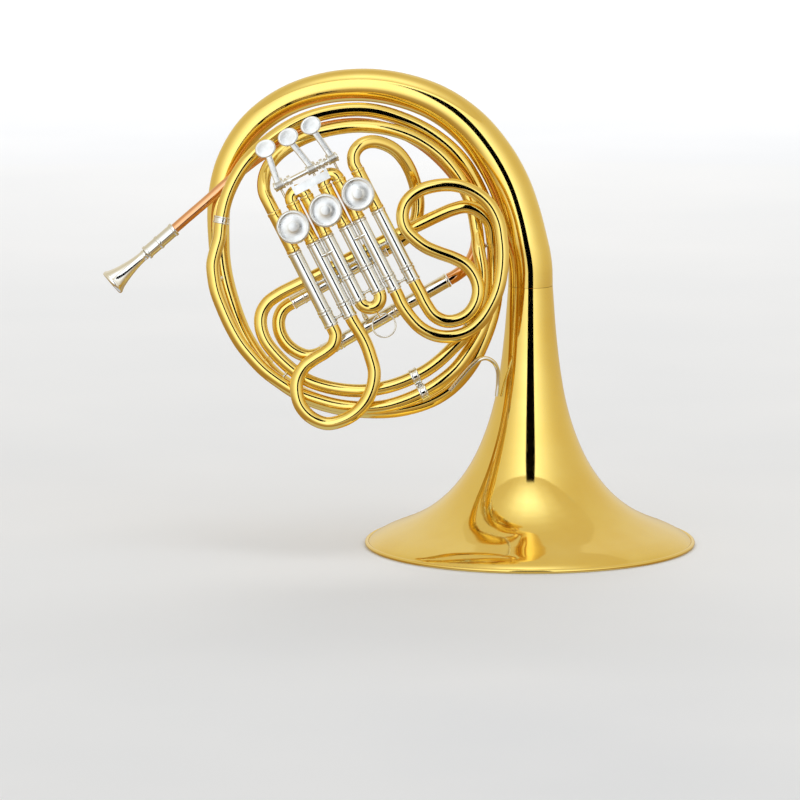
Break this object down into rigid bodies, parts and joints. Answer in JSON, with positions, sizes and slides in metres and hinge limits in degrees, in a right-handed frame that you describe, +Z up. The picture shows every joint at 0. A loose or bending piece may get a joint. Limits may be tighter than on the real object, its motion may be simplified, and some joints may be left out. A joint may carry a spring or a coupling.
{
  "type": "french horn",
  "caption": "French horn standing on its bell: coiled tubing, rotary valves with finger levers, valve slides that pull out, a main tuning slide and a removable mouthpiece.",
  "frame": {"origin": "on the surface that the bell's rim stands on, under the middle of the whole horn's box", "axes": "+Z up along the bell's axis, +X from the mouthpiece towards the bell, -Y towards the side with the valve caps"},
  "size_m": [0.55, 0.3076, 0.4442],
  "materials": {
    "bell": "polished yellow brass under clear lacquer",
    "bell_brace": "polished nickel silver",
    "bell_tail": "polished yellow brass under clear lacquer",
    "branch_brace": "polished nickel silver",
    "collar_brace": "polished nickel silver",
    "crossover_1_2": "polished yellow brass under clear lacquer",
    "crossover_2_3": "polished yellow brass under clear lacquer",
    "hinge_rod": "polished nickel silver",
    "inner_branch": "polished yellow brass under clear lacquer",
    "leadpipe": "polished rose brass under clear lacquer",
    "lever_1": "polished silver plate",
    "lever_2": "polished silver plate",
    "lever_3": "polished silver plate",
    "lever_saddle": "polished nickel silver",
    "lever_spring_1": "polished nickel silver",
    "lever_spring_2": "polished nickel silver",
    "lever_spring_3": "polished nickel silver",
    "link_rod_1": "polished nickel silver",
    "link_rod_2": "polished nickel silver",
    "link_rod_3": "polished nickel silver",
    "middle_branch": "polished yellow brass under clear lacquer",
    "mouthpiece": "polished silver plate",
    "mouthpiece_receiver": "polished nickel silver",
    "outer_branch": "polished yellow brass under clear lacquer",
    "pull_ring": "polished nickel silver",
    "rotor_1": "polished nickel silver",
    "rotor_2": "polished nickel silver",
    "rotor_3": "polished nickel silver",
    "sleeve_brace_1_2": "polished nickel silver",
    "sleeve_brace_2_3": "polished nickel silver",
    "slide_bow_1": "polished yellow brass under clear lacquer",
    "slide_bow_2": "polished yellow brass under clear lacquer",
    "slide_bow_3": "polished yellow brass under clear lacquer",
    "slide_legs_1": "polished nickel silver",
    "slide_legs_2": "polished nickel silver",
    "slide_legs_3": "polished nickel silver",
    "slide_sleeves_1": "polished nickel silver",
    "slide_sleeves_2": "polished nickel silver",
    "slide_sleeves_3": "polished nickel silver",
    "stop_arm_1": "polished nickel silver",
    "stop_arm_2": "polished nickel silver",
    "stop_arm_3": "polished nickel silver",
    "tail_ferrule": "polished nickel silver",
    "top_ferrule": "polished nickel silver",
    "tuning_leg_lower": "polished nickel silver",
    "tuning_leg_upper": "polished nickel silver",
    "tuning_sleeves": "polished nickel silver",
    "tuning_slide_crook": "polished yellow brass under clear lacquer",
    "valve_bearing_1": "polished yellow brass under clear lacquer",
    "valve_bearing_2": "polished yellow brass under clear lacquer",
    "valve_bearing_3": "polished yellow brass under clear lacquer",
    "valve_cap_1": "polished silver plate",
    "valve_cap_2": "polished silver plate",
    "valve_cap_3": "polished silver plate",
    "valve_casing_1": "polished yellow brass under clear lacquer",
    "valve_casing_2": "polished yellow brass under clear lacquer",
    "valve_casing_3": "polished yellow brass under clear lacquer",
    "valve_inlet_tube": "polished yellow brass under clear lacquer",
    "valve_outlet_tube": "polished yellow brass under clear lacquer"
  },
  "bodies": {
    "horn_body": {"bell": "bell", "bell_brace": "bell_brace", "bell_tail": "bell_tail", "branch_brace": "branch_brace", "collar_brace": "collar_brace", "crossover_1_2": "crossover_1_2", "crossover_2_3": "crossover_2_3", "hinge_rod": "hinge_rod", "inner_branch": "inner_branch", "leadpipe": "leadpipe", "lever_saddle": "lever_saddle", "lever_spring_1": "lever_spring_1", "lever_spring_2": "lever_spring_2", "lever_spring_3": "lever_spring_3", "middle_branch": "middle_branch", "mouthpiece_receiver": "mouthpiece_receiver", "outer_branch": "outer_branch", "sleeve_brace_1_2": "sleeve_brace_1_2", "sleeve_brace_2_3": "sleeve_brace_2_3", "slide_sleeves_1": "slide_sleeves_1", "slide_sleeves_2": "slide_sleeves_2", "slide_sleeves_3": "slide_sleeves_3", "tail_ferrule": "tail_ferrule", "top_ferrule": "top_ferrule", "tuning_sleeves": "tuning_sleeves", "valve_bearing_1": "valve_bearing_1", "valve_bearing_2": "valve_bearing_2", "valve_bearing_3": "valve_bearing_3", "valve_cap_1": "valve_cap_1", "valve_cap_2": "valve_cap_2", "valve_cap_3": "valve_cap_3", "valve_casing_1": "valve_casing_1", "valve_casing_2": "valve_casing_2", "valve_casing_3": "valve_casing_3", "valve_inlet_tube": "valve_inlet_tube", "valve_outlet_tube": "valve_outlet_tube"},
    "lever_1": {"lever_1": "lever_1"},
    "link_1": {"link_rod_1": "link_rod_1"},
    "rotor_1": {"rotor_1": "rotor_1", "stop_arm_1": "stop_arm_1"},
    "valve_slide_1": {"slide_legs_1": "slide_legs_1", "slide_bow_1": "slide_bow_1"},
    "lever_2": {"lever_2": "lever_2"},
    "link_2": {"link_rod_2": "link_rod_2"},
    "rotor_2": {"rotor_2": "rotor_2", "stop_arm_2": "stop_arm_2"},
    "valve_slide_2": {"slide_legs_2": "slide_legs_2", "slide_bow_2": "slide_bow_2"},
    "lever_3": {"lever_3": "lever_3"},
    "link_3": {"link_rod_3": "link_rod_3"},
    "rotor_3": {"rotor_3": "rotor_3", "stop_arm_3": "stop_arm_3"},
    "valve_slide_3": {"slide_legs_3": "slide_legs_3", "slide_bow_3": "slide_bow_3"},
    "tuning_slide": {"tuning_leg_upper": "tuning_leg_upper", "tuning_leg_lower": "tuning_leg_lower", "tuning_slide_crook": "tuning_slide_crook"},
    "pull_ring": {"pull_ring": "pull_ring"},
    "mouthpiece": {"mouthpiece": "mouthpiece"}
  },
  "joints": [
    {"name": "lever_1_press", "type": "hinge", "parent": "horn_body", "child": "lever_1", "pos_m": [-0.11681, -0.04623, 0.34175], "axis": [-0.891, -0.0749, -0.4478], "range_deg": [0, 21.1], "stiffness_Nm_per_rad": 0.08, "springref_deg": -20.05},
    {"name": "link_1_travel", "type": "slide", "parent": "horn_body", "child": "link_1", "axis": [0.454, -0.1471, -0.8788], "range_m": [0, 0.00995]},
    {"name": "rotor_1_turn", "type": "hinge", "parent": "horn_body", "child": "rotor_1", "pos_m": [-0.09865, -0.04521, 0.30544], "axis": [0, 0.9863, -0.165], "range_deg": [0, 90.5]},
    {"name": "lever_2_press", "type": "hinge", "parent": "horn_body", "child": "lever_2", "pos_m": [-0.08696, -0.04372, 0.35675], "axis": [-0.891, -0.0749, -0.4478], "range_deg": [0, 21.1], "stiffness_Nm_per_rad": 0.08, "springref_deg": -20.05},
    {"name": "link_2_travel", "type": "slide", "parent": "horn_body", "child": "link_2", "axis": [0.454, -0.1471, -0.8788], "range_m": [0, 0.00995]},
    {"name": "rotor_2_turn", "type": "hinge", "parent": "horn_body", "child": "rotor_2", "pos_m": [-0.0688, -0.0427, 0.32044], "axis": [0, 0.9863, -0.165], "range_deg": [0, 90.5]},
    {"name": "lever_3_press", "type": "hinge", "parent": "horn_body", "child": "lever_3", "pos_m": [-0.05711, -0.04121, 0.37175], "axis": [-0.891, -0.0749, -0.4478], "range_deg": [0, 21.1], "stiffness_Nm_per_rad": 0.08, "springref_deg": -20.05},
    {"name": "link_3_travel", "type": "slide", "parent": "horn_body", "child": "link_3", "axis": [0.454, -0.1471, -0.8788], "range_m": [0, 0.00995]},
    {"name": "rotor_3_turn", "type": "hinge", "parent": "horn_body", "child": "rotor_3", "pos_m": [-0.03895, -0.04019, 0.33544], "axis": [0, -0.9863, 0.165], "range_deg": [0, 90.5]},
    {"name": "valve_slide_1_pull", "type": "slide", "parent": "horn_body", "child": "valve_slide_1", "axis": [0.454, -0.1471, -0.8788], "range_m": [0, 0.045]},
    {"name": "valve_slide_2_pull", "type": "slide", "parent": "horn_body", "child": "valve_slide_2", "axis": [0.454, -0.1471, -0.8788], "range_m": [0, 0.025]},
    {"name": "valve_slide_3_pull", "type": "slide", "parent": "horn_body", "child": "valve_slide_3", "axis": [0.454, -0.1471, -0.8788], "range_m": [0, 0.045]},
    {"name": "tuning_slide_pull", "type": "slide", "parent": "horn_body", "child": "tuning_slide", "axis": [-0.8679, -0.082, -0.4899], "range_m": [0, 0.045]},
    {"name": "pull_ring_swing", "type": "hinge", "parent": "valve_slide_2", "child": "pull_ring", "pos_m": [-0.01995, -0.05852, 0.22588], "axis": [0.891, 0.0749, 0.4478], "range_deg": [-60, 60]},
    {"name": "mouthpiece_pull", "type": "slide", "parent": "horn_body", "child": "mouthpiece", "axis": [-0.7552, -0.1082, -0.6465], "range_m": [0, 0.026]}
  ],
  "couplings": [
    {"joint": "link_1_travel", "follows": "lever_1_press", "m_per_rad": 0.02688},
    {"joint": "rotor_1_turn", "follows": "lever_1_press", "ratio": 4.265},
    {"joint": "link_2_travel", "follows": "lever_2_press", "m_per_rad": 0.02688},
    {"joint": "rotor_2_turn", "follows": "lever_2_press", "ratio": 4.265},
    {"joint": "link_3_travel", "follows": "lever_3_press", "m_per_rad": 0.02688},
    {"joint": "rotor_3_turn", "follows": "lever_3_press", "ratio": 4.265}
  ]
}
